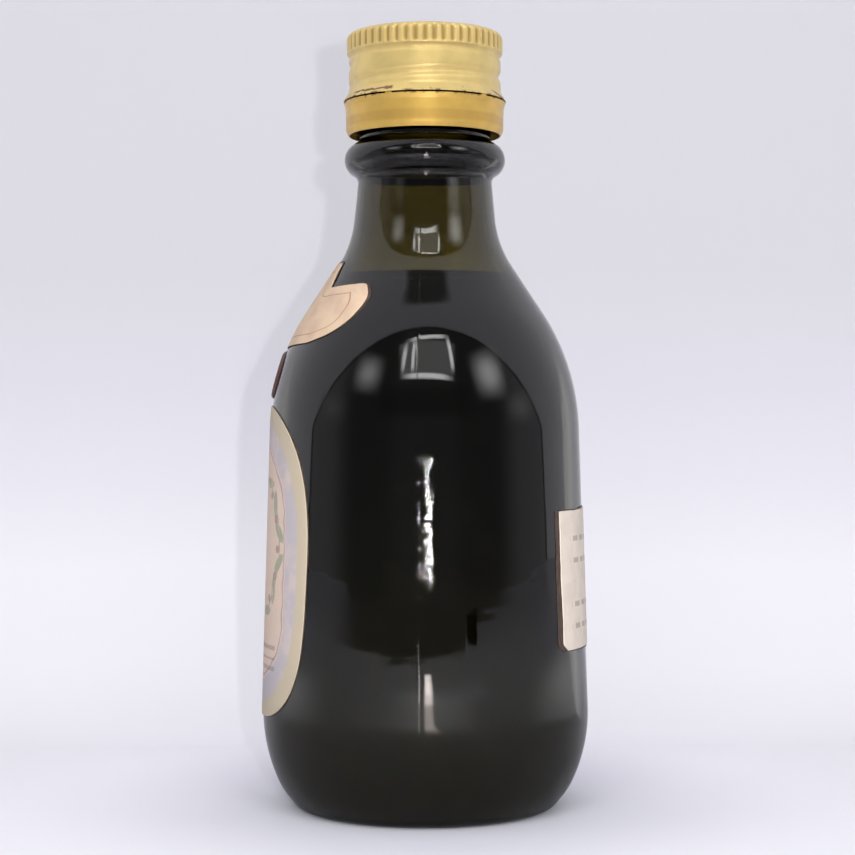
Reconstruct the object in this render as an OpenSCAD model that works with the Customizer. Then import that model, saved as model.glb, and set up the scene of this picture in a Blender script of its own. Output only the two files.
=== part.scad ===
// Round glass bottle with a rolled-on aluminium screw cap, its tear band, three paper labels and a seal.
// The base stands on Z = 0 with the bottle's axis on Z.
// The front label faces -Y, the mould seams face +X and -X.
// Every outline below is a short list of corners [radius from the axis, height, corner radius].

/* [Bottle] */
// Radius where the lower body is widest, taken at its corner
heel_r = 29.3; // [24:0.1:36]
// Height of that corner over the base
heel_h = 11.6; // [9:0.1:16]
// Radius where the body meets the shoulder
shoulder_r = 27.3; // [22:0.1:34]
// Height where the body meets the shoulder
shoulder_h = 79; // [64:0.5:96]
// Height from the shoulder's corner to the foot of the neck
shoulder_rise = 22; // [16:0.5:28]
// Height from the foot of the neck to the middle of the carrying ring
neck_rise = 14.9; // [12:0.1:19]
// Radius of the standing ring's outer corner
foot_r = 22.7; // [18:0.1:26]
// Thickness of the glass in the body
wall = 2; // [1.6:0.1:2.6]
// How far the middle of the base is pushed up
push_up = 3; // [1.5:0.1:5]
// Height from the liquid up to the lip
fill_drop = 41.6; // [39:0.1:100]

/* [Neck and finish] */
// Radius of the glass between the turns of its thread
root_r = 12.35; // [12:0.05:14]
// How far the thread stands out from there
thread_h = 0.95; // [0.8:0.05:1.3]
// Thickness of the glass at the mouth
mouth_wall = 3.05; // [2.55:0.05:6.35]
// How far the neck is set back from the thread's root
neck_step = 0.45; // [0.15:0.05:0.95]
// How far the carrying ring stands out from the neck
ring_proud = 2.55; // [1.7:0.05:3.5]
// Height from the middle of the carrying ring to the foot of the cap
cap_clear = 4.4; // [4:0.1:9]
// Pitch of the thread
thread_pitch = 3.18; // [2.8:0.02:3.4]
// Turns of the thread on the glass
thread_turns = 1.5; // [1:0.05:1.6]

/* [Cap] */
// Height of the whole closure, tear band included
closure_h = 18.2; // [17.9:0.1:21]
// Thickness of the aluminium
sheet = 0.22; // [0.18:0.01:0.26]
// Height of the tear band, from the slit down
band_h = 5.8; // [5.5:0.1:6.2]
// Flutes in the knurl
flutes = 52; // [44:4:64]
// Height of the knurl
knurl_h = 3.4; // [2.8:0.1:3.8]
// Bridges that hold the tear band to the cap
bridges = 5; // [4:1:8]

/* [Labels] */
// Width of the front label, measured round the glass
front_label_w = 46; // [36:0.5:54]
// Height from the heel's corner to the front label's lower edge
front_label_rise = 6.1; // [4:0.1:21]
// Half the angle that the shoulder label wraps
shoulder_label_angle = 60; // [45:1:68]
// Height from the shoulder's corner to the shoulder label's lower edge
shoulder_label_rise = 3.2; // [1:0.1:6]
// Width of the back label, measured round the glass
back_label_w = 37.5; // [28:0.5:46]
// Height of the back label
back_label_h = 24.5; // [18:0.5:32]
// Height of its middle over the base
back_label_z = 41.6; // [36:0.1:48]
// Thickness of the label paper
paper = 0.2; // [0.15:0.01:0.3]
// Radius of the seal between the front label and the shoulder label
seal_r = 4.6; // [3.5:0.1:6]
// Height of the seal's rim over the glass
seal_rise = 0.9; // [0.6:0.05:1.1]

/* [Hidden] */
$fn = 96;

// Clearances
glue = 0.05;              // glue film under a label and under the seal
liquid_gap = 0.1;         // between the liquid's solid and the glass
liner_gap = 0.03;         // liner to lip, and liner to cap
slit = 0.3;               // between the cap's lip and the tear band
bridge_gap = 0.05;        // broken middle of each bridge
ring_gap = 0.18;          // locking ring to the band round it
thread_gap = 0.13;        // crest of the glass thread to the cap

// Radii of the finish and of the cap that fits over it
neck_r = root_r - neck_step;
bore_r = root_r - mouth_wall;
ring_r = neck_r + ring_proud;
crest_r = root_r + thread_h;
skirt_r = crest_r + thread_gap + sheet; // outside of the cap's threaded skirt

// Closure, from its foot up
liner_t = 1.32;                         // thickness of the liner
ring_z = shoulder_h + shoulder_rise + neck_rise;
cap_bottom = ring_z + cap_clear;
cap_top = cap_bottom + closure_h;
slit_top = cap_bottom + band_h + slit;  // the cap's lower lip
knurl_r = skirt_r + 0.35;
band_r = skirt_r + 0.55;
lip_flare_r = skirt_r + 0.95;
flare_h = 1.6;                          // height over which the skirt flares to its lip
recess = 0.35;                          // depth of the groove under the knurl
recess_half_h = 0.7;
recess_z = cap_top - knurl_h - 0.85;

// Glass, from the middle of the base to the lip
lip_z = cap_top - sheet - 2 * liner_gap - liner_t;
fill_h = lip_z - fill_drop;
stand_w = 3.9;                          // width of the standing ring, corner to corner
stand_r = foot_r - stand_w;
push_up_r = stand_r * 0.55;             // where the pushed-up base turns down to the standing ring
flank_r = foot_r + 0.47 * (heel_r - foot_r);
flank_h = 0.32 * heel_h;
neck_foot_r = neck_r + 1.1;
ring_half_h = 3.29;                     // half the height of the carrying ring where it leaves the neck
ring_face = 1.82;                       // half the height between its two outer corners
ring_round = 3.16;

// Locking ring of the glass, inside the tear band
lock_r = band_r - sheet - ring_gap;
lock_top = slit_top - 0.7;
lock_h = 3;

// Thread: the cap's groove runs just under the glass ridge
ridge_z = slit_top + 4.55;              // height of the ridge's middle where it faces +X
ridge_half_w = 1.05;
groove_z = ridge_z - 1;                 // height of the groove's middle there
groove_depth = 0.45;
groove_half_w = 0.75;
groove_low = slit_top + flare_h + 0.27 + groove_half_w;
groove_high = recess_z - recess_half_h - 0.2 - groove_half_w;
bar_sides = 6;                          // facets across a thread's section
step = 10;                              // degrees between two sections of a thread
run_out = 40;                           // degrees over which a thread rises from nothing

// Labels and seal
seal_gap = 0.15;                        // seal to the label above it and the label below it
shoulder_label_bottom = shoulder_h + shoulder_label_rise;
shoulder_label_ear = shoulder_label_bottom + 9;
shoulder_label_peak = shoulder_label_bottom + 14.5;
seal_z = shoulder_label_bottom - seal_gap - seal_r;
front_top = seal_z - seal_r - seal_gap;
front_low = heel_h + front_label_rise;
front_label_h = front_top - front_low;
front_label_z = (front_top + front_low) / 2;

// Moulding marks
seam_w = 0.5;
seam_h = 0.1;
heel_bar_rise = 0.35;

BODY = [
    [0, push_up, 0],
    [push_up_r, push_up, 14],
    [stand_r, 0, 3],
    [foot_r, 0, 3],
    [flank_r, flank_h, 12],
    [heel_r, heel_h, 29],
    [shoulder_r, shoulder_h, 39.5],
    [neck_foot_r, shoulder_h + shoulder_rise, 18],
    [neck_r, ring_z - ring_half_h, 0.6]
];

FINISH = [
    [ring_r, ring_z - ring_face, ring_round],
    [ring_r, ring_z + ring_face, ring_round],
    [neck_r, ring_z + ring_half_h, 0.6],
    [neck_r, lock_top - lock_h, 0.3],
    [lock_r, lock_top - lock_h + 0.5, 0.5],
    [lock_r, lock_top - 0.6, 0.6],
    [root_r, lock_top + 0.2, 0.4],
    [root_r, lip_z, 0.9],
    [bore_r, lip_z, 0.6]
];

// ---- outlines ----

function flat(p) = [p[0], p[1]];
function unit(v) = v / norm(v);
function cross_z(a, b) = a[0] * b[1] - a[1] * b[0];
function turned(v, a) = [v[0] * cos(a) - v[1] * sin(a), v[0] * sin(a) + v[1] * cos(a)];
function back_way(c, i) = unit(flat(c[i - 1]) - flat(c[i]));
function on_way(c, i) = unit(flat(c[i + 1]) - flat(c[i]));
function half_angle(c, i) = acos(back_way(c, i) * on_way(c, i)) / 2;
function side(c, i) = sign(cross_z(back_way(c, i), on_way(c, i)));
function is_end(c, i) = i == 0 || i == len(c) - 1;
function edge(c, i) = norm(flat(c[i + 1]) - flat(c[i]));

// Length that a corner's arc takes from each of its edges, and its share where two arcs would meet
function reach(c, i) = is_end(c, i) ? 0 : c[i][2] / tan(half_angle(c, i));
function share(c, i) = min(1, edge(c, i - 1) / (reach(c, i - 1) + reach(c, i)),
                           edge(c, i) / (reach(c, i) + reach(c, i + 1)));

// Points of one corner's arc, whose chords stay within arc_error of it
arc_error = 0.015;
function arc_step(r) = 2 * acos(1 - arc_error / r);
function arc(c, i) = let (
        t = reach(c, i) * share(c, i),
        half = half_angle(c, i),
        r = t * tan(half),
        start = flat(c[i]) + back_way(c, i) * t,
        middle = flat(c[i]) + unit(back_way(c, i) + on_way(c, i)) * r / sin(half),
        sweep = -side(c, i) * (180 - 2 * half),
        n = max(2, ceil(abs(sweep) / arc_step(r)))
    ) [for (k = [0 : n]) middle + turned(start - middle, sweep * k / n)];

// The outline through the corners, with each corner rounded by an arc tangent to both its edges
function rounded(c) = [
    for (i = [0 : len(c) - 1])
        each (is_end(c, i) || c[i][2] == 0 ? [flat(c[i])] : arc(c, i))
];

// The same corners moved by d to the left of the outline's direction, which is into the glass
function inset(c, d) = [
    for (i = [0 : len(c) - 1])
        i == 0 ? [c[0][0], c[0][1] + d, 0] :
        i == len(c) - 1 ? [c[i][0] - d, c[i][1], c[i][2]] :
        let (
            s = -side(c, i),
            p = flat(c[i]) + unit(back_way(c, i) + on_way(c, i)) * s * d / sin(half_angle(c, i))
        ) [p[0], p[1], max(0.2, c[i][2] - s * d)]
];

function reversed(list) = [for (i = [len(list) - 1 : -1 : 0]) list[i]];

// ---- shared shapes ----

module revolved(points) {
    rotate_extrude()
        polygon(points);
}

// The body's outline grown by d, as a solid of revolution without the finish
module grown_body(d) {
    outline = rounded(inset(BODY, -d));
    top = outline[len(outline) - 1];
    revolved(concat([for (p = outline) [max(0, p[0]), p[1]]], [[0, top[1]]]));
}

// A sheet of thickness t that follows the glass, lifted clear of it by the glue
module skin(t) {
    difference() {
        grown_body(glue + t);
        grown_body(glue);
    }
}

// A closed helical bar. crest is how far its section stands from base_r: outwards, or inwards if negative.
module helix_bar(base_r, crest, half_w, start_z, from_angle, to_angle) {
    sides = bar_sides;
    count = ceil((to_angle - from_angle) / step);
    rings = [for (k = [0 : count]) let (
            a = from_angle + (to_angle - from_angle) * k / count,
            ramp = min(1, (a - from_angle) / run_out, (to_angle - a) / run_out)
        ) for (j = [0 : sides]) let (
            r = base_r + crest * max(0.04, ramp) * sin(180 * j / sides),
            z = start_z + thread_pitch * a / 360 + half_w * (2 * j / sides - 1)
        ) [r * cos(a), r * sin(a), z]];
    w = sides + 1;
    walls = [for (k = [0 : count - 1]) for (j = [0 : sides]) let (
            p = k * w + j,
            q = k * w + (j + 1) % w
        ) each [[p, p + w, q], [q, p + w, q + w]]];
    first_end = [for (j = [0 : sides]) j];
    last_end = [for (j = [sides : -1 : 0]) count * w + j];
    faces = concat(walls, [first_end, last_end]);
    polyhedron(points = rings, faces = crest < 0 ? faces : [for (f = faces) reversed(f)]);
}

// ---- the pieces ----

module glass_section() {
    outer = rounded(concat(BODY, FINISH));
    cavity = concat(inset(BODY, wall), [[bore_r, ring_z + ring_half_h, 8], [bore_r, lip_z - 1, 0]]);
    polygon(concat(outer, reversed(rounded(cavity))));
}

// Two fine ridges where the halves of the mould met
module mould_seams() {
    intersection() {
        difference() {
            grown_body(seam_h);
            grown_body(-wall / 2);
        }
        translate([-2 * heel_r, -seam_w / 2, heel_h / 2])
            cube([4 * heel_r, seam_w, ring_z - ring_half_h - heel_h / 2 - 0.5]);
    }
}

// A bare raised bar low on the heel, at the front and at the back
module heel_bar(direction, low, high, width) {
    intersection() {
        difference() {
            grown_body(heel_bar_rise);
            grown_body(-wall / 2);
        }
        rotate(direction)
            translate([0, -width / 2, low])
                cube([2 * heel_r, width, high - low]);
    }
}

module glass_thread() {
    bury = 0.35;
    span = 360 * thread_turns;
    helix_bar(root_r - bury, crest_r - root_r + bury, ridge_half_w, ridge_z, 200 - span, 200);
}

module bottle() {
    color([0.10, 0.12, 0.05, 0.8])
        union() {
            rotate_extrude()
                glass_section();
            mould_seams();
            heel_bar(-90, 4.8, 9.1, 9);
            heel_bar(90, 3.9, 7.2, 6);
            glass_thread();
        }
}

module contents() {
    color([0.12, 0.08, 0.03])
        intersection() {
            grown_body(-wall - liquid_gap);
            cylinder(r = 2 * heel_r, h = fill_h);
        }
}

module cap_section() {
    outer = [
        [0, cap_top, 0],
        [knurl_r, cap_top, 1.1],
        [knurl_r, recess_z + recess_half_h, 0.35],
        [skirt_r - recess, recess_z, 0.4],
        [skirt_r, recess_z - recess_half_h, 0.5],
        [skirt_r, slit_top + flare_h, 1.2],
        [lip_flare_r, slit_top, 0]
    ];
    inner = [
        [lip_flare_r - sheet, slit_top, 0],
        [skirt_r - sheet, slit_top + flare_h + sheet / 3, 1.2],
        [skirt_r - sheet, recess_z - recess_half_h, 0.5],
        [skirt_r - recess - sheet, recess_z, 0.4],
        [skirt_r - sheet, recess_z + recess_half_h, 0.35],
        [skirt_r - sheet, cap_top - sheet, 0.9],
        [0, cap_top - sheet, 0]
    ];
    polygon(concat(rounded(outer), rounded(inner)));
}

// One flute of the knurl: a round-bottomed cut that ends in a half ball
module flute() {
    cut_r = 0.49;
    depth = 0.3;
    low = cap_top - knurl_h + cut_r;
    translate([knurl_r - depth + cut_r, 0, low])
        union() {
            cylinder(r = cut_r, h = knurl_h, $fn = 24);
            sphere(r = cut_r, $fn = 24);
        }
}

module cap_shell() {
    bury = 0.1;
    first = 360 * (groove_low - groove_z) / thread_pitch;
    last = 360 * (groove_high - groove_z) / thread_pitch;
    color([0.86, 0.72, 0.34])
        difference() {
            union() {
                rotate_extrude()
                    cap_section();
                helix_bar(skirt_r - bury, bury - sheet - groove_depth, groove_half_w, groove_z, first, last);
            }
            helix_bar(skirt_r + bury, -bury - groove_depth, groove_half_w + 0.1, groove_z, first, last);
            for (i = [0 : flutes - 1])
                rotate(360 * i / flutes)
                    flute();
        }
}

module cap_liner() {
    low = lip_z + liner_gap;
    high = cap_top - sheet - liner_gap;
    r = skirt_r - sheet - 0.25;
    color([0.92, 0.91, 0.86])
        revolved(rounded([
            [0, low + 0.15, 0],
            [bore_r - 0.6, low + 0.15, 0],
            [bore_r - 0.3, low, 0],
            [r, low, 0.2],
            [r, high, 0.6],
            [0, high, 0]
        ]));
}

module tear_band() {
    top = slit_top - slit;
    edge_r = lip_flare_r - 0.1;
    tuck_r = band_r - 0.5;                  // its lower edge is rolled in under the locking ring
    tuck_h = 0.9;
    outer = [
        [edge_r, top, 0],
        [band_r, top - 1, 0.8],
        [band_r - 0.05, cap_bottom + tuck_h, 0.9],
        [tuck_r, cap_bottom, 0]
    ];
    inner = [
        [tuck_r - sheet, cap_bottom, 0],
        [band_r - 0.05 - sheet, cap_bottom + tuck_h + sheet / 3, 0.9],
        [band_r - sheet, top - 1 - sheet / 3, 0.8],
        [edge_r - sheet, top, 0]
    ];
    tab_w = 1.2;
    tab_foot = 0.2;
    first_tab = -26;
    color([0.80, 0.64, 0.26])
        union() {
            rotate_extrude()
                polygon(concat(rounded(outer), rounded(inner)));
            for (i = [0 : bridges - 1])
                rotate(360 * i / bridges + first_tab)
                    translate([edge_r - sheet, -tab_w / 2, top - tab_foot])
                        cube([sheet - 0.04, tab_w, tab_foot + slit - bridge_gap]);
        }
}

// Half the angle, seen from the axis, of an arc of length s on the body
function angle_of(s) = s / shoulder_r * 180 / PI;

// An outline that swells past an ellipse, the more so the higher its power
function swollen(half_w, half_h, power, a) = [
    half_w * sign(cos(a)) * pow(abs(cos(a)), 2 / power),
    half_h * sign(sin(a)) * pow(abs(sin(a)), 2 / power)
];

// The outline of a label as it looks straight on: widths round the glass become chords
function chord(p) = [shoulder_r * sin(angle_of(p[0])), p[1]];

module through_front(z) {
    translate([0, 0, z])
        rotate([90, 0, 0])
            linear_extrude(2 * heel_r)
                children();
}

module front_label() {
    top_power = 2.5;
    foot_power = 2.9;
    outline = [for (a = [0 : 6 : 354])
        chord(swollen(front_label_w / 2, front_label_h / 2, a < 180 ? top_power : foot_power, a))];
    color([0.85, 0.79, 0.68])
        intersection() {
            skin(paper);
            through_front(front_label_z)
                polygon(outline);
        }
}

// A banner with a low peak in its middle, two round ears and a bowed lower edge
module shoulder_label() {
    ear_r = 20.5;
    ear_x = ear_r * sin(shoulder_label_angle);
    right = [
        [0, shoulder_label_bottom, 0],
        [ear_x * 0.66, shoulder_label_bottom + 0.3, 12],
        [ear_x, shoulder_label_ear - 1.5, 1.6],
        [ear_x * 0.93, shoulder_label_ear + 1.6, 1.5],
        [ear_x * 0.52, shoulder_label_ear + 1.5, 1.5],
        [ear_x * 0.36, shoulder_label_peak, 2],
        [0, shoulder_label_peak + 0.6, 0]
    ];
    half = rounded(right);
    color([0.86, 0.78, 0.66])
        intersection() {
            skin(paper);
            through_front(0)
                polygon(concat(half, [for (p = reversed(half)) [-p[0], p[1]]]));
        }
}

module back_label() {
    w = shoulder_r * sin(angle_of(back_label_w / 2));
    h = back_label_h / 2;
    nick = 1.2;
    skew = 0.4;
    outline = [
        [nick - w, -h],
        [w, skew - h],
        [w, h - nick],
        [w - nick, h],
        [-w, h - skew],
        [-w, nick - h]
    ];
    color([0.88, 0.83, 0.75])
        intersection() {
            skin(paper);
            rotate(180)
                through_front(back_label_z)
                    polygon(outline);
        }
}

// A round seal with a raised rim, a sunken field and a plain button in the middle
module seal() {
    rim_w = 0.9;
    color([0.28, 0.13, 0.12])
        union() {
            intersection() {
                skin(seal_rise);
                through_front(seal_z)
                    difference() {
                        circle(r = seal_r);
                        circle(r = seal_r - rim_w);
                    }
            }
            intersection() {
                skin(seal_rise * 0.6);
                through_front(seal_z)
                    circle(r = seal_r - rim_w);
            }
            intersection() {
                skin(seal_rise * 0.9);
                through_front(seal_z)
                    circle(r = seal_r * 0.35);
            }
        }
}

bottle();
contents();
cap_shell();
cap_liner();
tear_band();
shoulder_label();
front_label();
back_label();
seal();
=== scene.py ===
# %% [markdown]
# # A small round bottle of dark glass, with a rolled-on screw cap
# The bottle is turned glass, so nearly everything here is a lathe: an outline of radius and height, turned
# round the axis, and then pushed in or out a little where the real thing isn't quite round. Lengths are
# written in millimetres and multiplied by MM at the last moment, because Blender works in metres.

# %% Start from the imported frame
import math

import bpy
import numpy as np
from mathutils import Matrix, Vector


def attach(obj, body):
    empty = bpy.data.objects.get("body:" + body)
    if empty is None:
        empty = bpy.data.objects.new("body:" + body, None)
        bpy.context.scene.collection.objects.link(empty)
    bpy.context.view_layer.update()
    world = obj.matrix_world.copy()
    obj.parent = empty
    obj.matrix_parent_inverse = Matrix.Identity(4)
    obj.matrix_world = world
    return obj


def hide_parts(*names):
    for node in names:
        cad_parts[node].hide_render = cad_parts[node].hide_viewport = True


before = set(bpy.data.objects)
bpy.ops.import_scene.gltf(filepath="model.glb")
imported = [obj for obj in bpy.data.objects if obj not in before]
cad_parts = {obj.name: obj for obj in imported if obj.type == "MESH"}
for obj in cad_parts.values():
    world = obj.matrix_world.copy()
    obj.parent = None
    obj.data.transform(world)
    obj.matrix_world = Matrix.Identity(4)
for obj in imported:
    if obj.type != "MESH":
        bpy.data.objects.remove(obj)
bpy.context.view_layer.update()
MM = 0.001

# %% [markdown]
# ## The camera
# A long lens stands level with the middle of the bottle and looks at the mould seam. It comes first, so
# that a stopped script still shows something.

# %% Camera
PICTURE, FOCAL = 855, 2060  # the width of the picture and the focal length, in pixels
EYE, TILT, ROLL = (370.8, 0.42, 68.2), 0.042, 0.08  # millimetres, and degrees
eye = bpy.data.cameras.new("eye")
eye.sensor_width = 36
eye.lens = eye.sensor_width * FOCAL / PICTURE
camera = bpy.data.objects.new("camera", eye)
camera.location = [v * MM for v in EYE]
camera.rotation_euler = [math.radians(a) for a in (90 - TILT, ROLL, 90)]
bpy.context.scene.collection.objects.link(camera)
bpy.context.scene.camera = camera
bpy.context.scene.view_settings.view_transform = "Standard"
print("lens", round(eye.lens, 1), "mm")

# %% [markdown]
# ## Outlines with rounded corners
# A glass mould is drawn as a chain of corners, each with its own radius. `rounded` walks the chain and
# swaps every corner for an arc that touches both its edges.

# %% Rounded outlines
ARC_STEP = math.radians(9)


def unit(v):
    return v / np.linalg.norm(v)


def corner_frame(flat, i):
    """The directions back and on from a corner, half the angle between them, and the side it turns to."""
    back, on = unit(flat[i - 1] - flat[i]), unit(flat[i + 1] - flat[i])
    half = math.acos(np.clip(back @ on, -1, 1)) / 2
    return back, on, half, math.copysign(1, back[0] * on[1] - back[1] * on[0])


def rounded(corners, spacing):
    """Points of the outline through corners [radius, height, corner radius], about spacing apart."""
    corners = np.array(corners, float)
    flat, last = corners[:, :2], len(corners) - 1
    reach = np.zeros(last + 1)
    for i in range(1, last):
        reach[i] = corners[i, 2] / math.tan(corner_frame(flat, i)[2])
    points = [flat[0]]
    for i in range(1, last):
        back, on, half, side = corner_frame(flat, i)
        if reach[i] == 0:
            points.append(flat[i])
            continue
        before = np.linalg.norm(flat[i] - flat[i - 1]) / (reach[i - 1] + reach[i])
        after = np.linalg.norm(flat[i + 1] - flat[i]) / (reach[i] + reach[i + 1])
        taken = reach[i] * min(1, before, after)
        radius = taken * math.tan(half)
        start = flat[i] + back * taken
        middle = flat[i] + unit(back + on) * radius / math.sin(half)
        sweep = -side * (math.pi - 2 * half)
        steps = max(3, math.ceil(abs(sweep) * radius / spacing), math.ceil(abs(sweep) / ARC_STEP))
        for a in np.linspace(0, sweep, steps + 1):
            x, y = start - middle
            points.append(middle + (x * math.cos(a) - y * math.sin(a), x * math.sin(a) + y * math.cos(a)))
    points.append(flat[last])
    return spread_out(np.array(points), spacing)


def spread_out(points, spacing):
    """The same outline with points added on edges that are longer than the spacing."""
    out = [points[0]]
    for p, q in zip(points, points[1:]):
        length = np.linalg.norm(q - p)
        if length < 1e-6:
            continue
        steps = max(1, round(length / spacing))
        out += [p + (q - p) * k / steps for k in range(1, steps + 1)]
    return np.array(out)


# %% [markdown]
# ## The wall inside an outline
# Moving each corner along its bisector gives an inner outline, with an even wall between the two.

# %% Inner outlines
def inset(corners, depth):
    """The corners moved by depth to the left of the outline, which is into the glass."""
    corners = np.array(corners, float)
    flat, out = corners[:, :2], []
    for i, (r, z, radius) in enumerate(corners):
        if i == 0:
            out.append([r, z + depth, 0])
        elif i == len(corners) - 1:
            out.append([r - depth, z, radius])
        else:
            back, on, half, side = corner_frame(flat, i)
            p = flat[i] - unit(back + on) * side * depth / math.sin(half)
            out.append([p[0], p[1], max(0.2, radius + side * depth)])
    return out


# %% [markdown]
# ## From points to a piece
# Every shape ends as points and faces, shaded smooth except where the piece bends enough to be an edge.

# %% Mesh pieces
def mesh_piece(name, points, faces, sharp=40):
    """A mesh object from points in millimetres, smooth except where it bends by more than sharp degrees."""
    mesh = bpy.data.meshes.new(name)
    mesh.from_pydata((np.asarray(points) * MM).tolist(), [], faces)
    mesh.validate()
    mesh.polygons.foreach_set("use_smooth", [True] * len(mesh.polygons))
    mesh.set_sharp_from_angle(angle=math.radians(sharp))
    piece = bpy.data.objects.new(name, mesh)
    bpy.context.scene.collection.objects.link(piece)
    return piece


# %% [markdown]
# ## Turning an outline on the lathe
# The lathe lays one ring of points for each point of the outline. A `push` function may move each point
# along its radius, which is how the thread, the knurl and the seams get into the same surface without any
# booleans. A push fades with a soft step or is shaped as a bell, because one that starts at once would
# leave a crease.

# %% The lathe
def lathe(name, outline, angles, push=None, closed=False, sharp=40):
    """Turns an outline about the axis. It runs up the outside, so that its faces look outwards."""
    radius, height = (np.repeat(outline[:, k:k + 1], len(angles), 1) for k in (0, 1))
    turn = np.repeat(np.array(angles)[None], len(outline), 0)
    if push is not None:
        radius = np.where(radius > 1e-6, radius + push(turn, radius, height), 0)
    grid = np.stack([radius * np.cos(turn), radius * np.sin(turn), height], -1)
    points, rings = [], []
    for ring, r in zip(grid, outline[:, 0]):
        if r < 1e-6:
            rings.append([len(points)] * len(angles))
            points.append(ring[0])
        else:
            rings.append(list(range(len(points), len(points) + len(angles))))
            points.extend(ring)
    faces, n = [], len(angles)
    for low, high in list(zip(rings, rings[1:])) + ([(rings[-1], rings[0])] if closed else []):
        for j in range(n):
            k = (j + 1) % n
            faces.append(tuple(dict.fromkeys((low[j], low[k], high[k], high[j]))))
    return mesh_piece(name, points, faces, sharp)


def round_angles(count, dense=(), width=0.0, fine=0.004):
    """Angles of a full turn, only fine apart within width of each dense angle."""
    angles = set(np.round(np.linspace(0, 2 * math.pi, count, endpoint=False), 6))
    for middle in dense:
        angles = {a for a in angles if abs(math.remainder(a - middle, 2 * math.pi)) > width}
        extra = np.arange(-width, width + fine / 2, fine) + middle
        angles |= set(np.round(extra % (2 * math.pi), 6))
    return sorted(angles)


def smoothstep(low, high, x):
    t = np.clip((x - low) / (high - low), 0, 1)
    return t * t * (3 - 2 * t)


def bell(x, width):
    return np.exp(-((x / width) ** 2))


def off_angle(turn, middle):
    """The signed angle from middle, between -pi and pi."""
    return (turn - middle + math.pi) % (2 * math.pi) - math.pi


# %% [markdown]
# ## The outlines of the glass
# Body and finish use the frame's own dimensions. The finish is what a bottle maker calls everything from
# the carrying ring up: the ring, the locking ring that holds the tear band, the thread and the lip.

# %% Glass outlines
BODY = [
    [0, 3, 0], [10.34, 3, 14], [18.8, 0, 3], [22.7, 0, 3], [25.802, 3.712, 12],
    [29.3, 11.6, 29], [27.3, 79, 39.5], [13, 101, 18], [11.9, 112.61, 1.5],
]
FINISH = [
    [14.45, 114.08, 3.16], [14.45, 117.72, 3.16], [11.9, 119.19, 0.6], [11.9, 122.7, 0.3],
    [13.8, 123.2, 0.5], [13.8, 125.1, 0.6], [12.35, 125.9, 0.4], [12.35, 136.9, 0.9], [9.3, 136.9, 0.6],
]
WALL, FILL = 2.0, 94.5
CAVITY = inset(BODY, WALL) + [[9.3, 119.19, 8], [9.3, 135.9, 0]]
glass_outer = rounded(BODY + FINISH + CAVITY[-1:], 0.28)
glass_inner = rounded(CAVITY, 0.6)
body_side = glass_outer[glass_outer[:, 1] < BODY[-1][1] - 1]
body_side = body_side[np.argmax(body_side[:, 0] > 24):]
print("outer outline", len(glass_outer), "points, inner", len(glass_inner))


def glass_radius(z):
    """Radius of the body at a height, for whatever is stuck on it."""
    return np.interp(z, body_side[:, 1], body_side[:, 0])


# %% [markdown]
# ## Glass that isn't quite round
# Blown glass is thicker here and thinner there, and its reflections wander. A handful of long, low waves
# does that. The two halves of the mould leave a fine beaded ridge down each side, and the neck is fuller on
# one side.

# %% Waves, seams and the fuller neck
rng = np.random.default_rng(7)
WAVES = [(rng.integers(0, 6), rng.uniform(-0.17, 0.17), rng.uniform(0, 6.28)) for _ in range(10)]
RIPPLES = [(rng.integers(0, 14), rng.uniform(-1.6, 1.6), rng.uniform(0, 6.28)) for _ in range(14)]
WAVE_HEIGHT, RIPPLE_HEIGHT = 0.022, 0.0012
SEAMS = (-0.043, math.pi - 0.043)
SEAM_HEIGHT, SEAM_WIDTH, BEAD_SPACING = 0.03, 0.16, 0.84
# How fast the front of the neck leaves the round outline, as slopes at heights, added up to a distance
SLOPE_AT = [86, 88, 89.5, 92, 94.5, 96, 97.5, 98.9, 100.4, 102, 104.1, 106, 120]
SLOPES = [0, 0, -0.038, -0.077, -0.05, 0.05, 0.164, 0.18, 0.147, 0.116, 0.027, 0, 0]
FULLNESS, RISE = 0.95, 0.1
neck_heights = np.linspace(SLOPE_AT[0], SLOPE_AT[-1], 1 + round((SLOPE_AT[-1] - SLOPE_AT[0]) / RISE))
neck_push = FULLNESS * RISE * np.cumsum(np.interp(neck_heights, SLOPE_AT, SLOPES))
print("the neck is up to", round(neck_push.max(), 2), "mm fuller")


def waves(turn, z, table):
    return sum(np.cos(m * turn + k * z + p) for m, k, p in table) / math.sqrt(len(table))


def push_body(turn, radius, z):
    """Long waves, beaded seams, and a fuller neck on the side of +X."""
    below_neck = smoothstep(1, 8, z) * (1 - smoothstep(104, 110, z))
    in_beads = smoothstep(24, 30, z) * (1 - smoothstep(58, 64, z))
    beaded = 1 - 0.5 * in_beads * (1 - np.cos(2 * math.pi * z / BEAD_SPACING))
    seam = beaded * sum(bell(off_angle(turn, a) * radius, SEAM_WIDTH) for a in SEAMS)
    wander = WAVE_HEIGHT * waves(turn, z, WAVES) + RIPPLE_HEIGHT * waves(turn, z, RIPPLES)
    front = bell(off_angle(turn, 0), 1.0) * (1 - smoothstep(112.4, 114.2, z))
    return below_neck * (wander + SEAM_HEIGHT * seam) + np.interp(z, neck_heights, neck_push) * front


# %% [markdown]
# ## The glass
# The screw thread is a ridge whose middle climbs by one pitch in each turn. It could be a swept ridge of
# its own, but as one more push it leaves the glass a single closed skin: up the outside, over the lip and
# down the inside.

# %% Glass piece
PITCH, THREAD_WIDTH, RUN_OUT = 3.18, 0.62, math.radians(40)
RIDGE_HEIGHT, LIP_POINTS = 0.95, 8


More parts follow.
